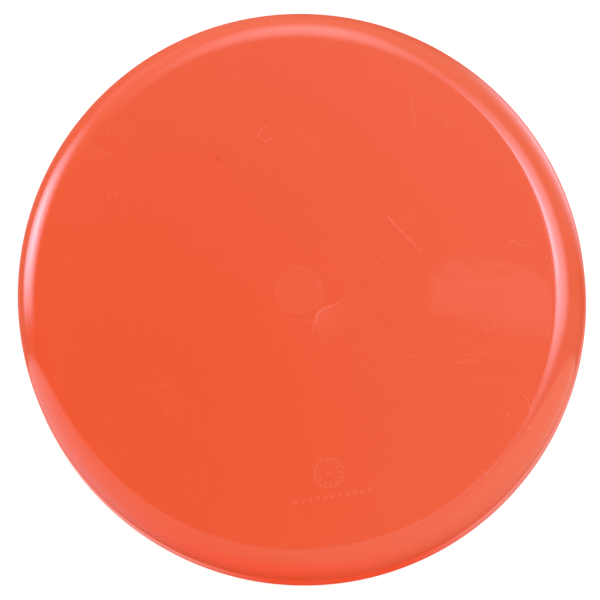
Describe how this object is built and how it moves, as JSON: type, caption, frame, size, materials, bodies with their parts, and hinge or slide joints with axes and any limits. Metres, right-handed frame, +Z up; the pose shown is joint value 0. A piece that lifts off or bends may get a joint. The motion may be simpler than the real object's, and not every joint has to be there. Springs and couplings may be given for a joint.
{
  "type": "flying disc",
  "caption": "Round plastic throwing disc for lawn games: a flat plate whose rounded shoulder turns down into a leaning rim wall with a thick bead, open underneath.",
  "frame": {"origin": "on the disc's axis, in the plane that the rim bead rests on", "axes": "+Z up along the disc's axis, out of the top of the flight plate; the hollow side faces -Z; the moulded date marks lie towards -Y, 9 degrees round towards +X"},
  "size_m": [0.235, 0.235, 0.0285],
  "materials": {
    "disc_plastic": "gloss"
  },
  "bodies": {
    "root": {"flight_plate": "disc_plastic", "shoulder": "disc_plastic", "rim_wall": "disc_plastic", "rim_bead": "disc_plastic", "gate_pad": "disc_plastic", "gate_stub": "disc_plastic", "date_dial": "disc_plastic", "date_pips": "disc_plastic"}
  },
  "joints": []
}
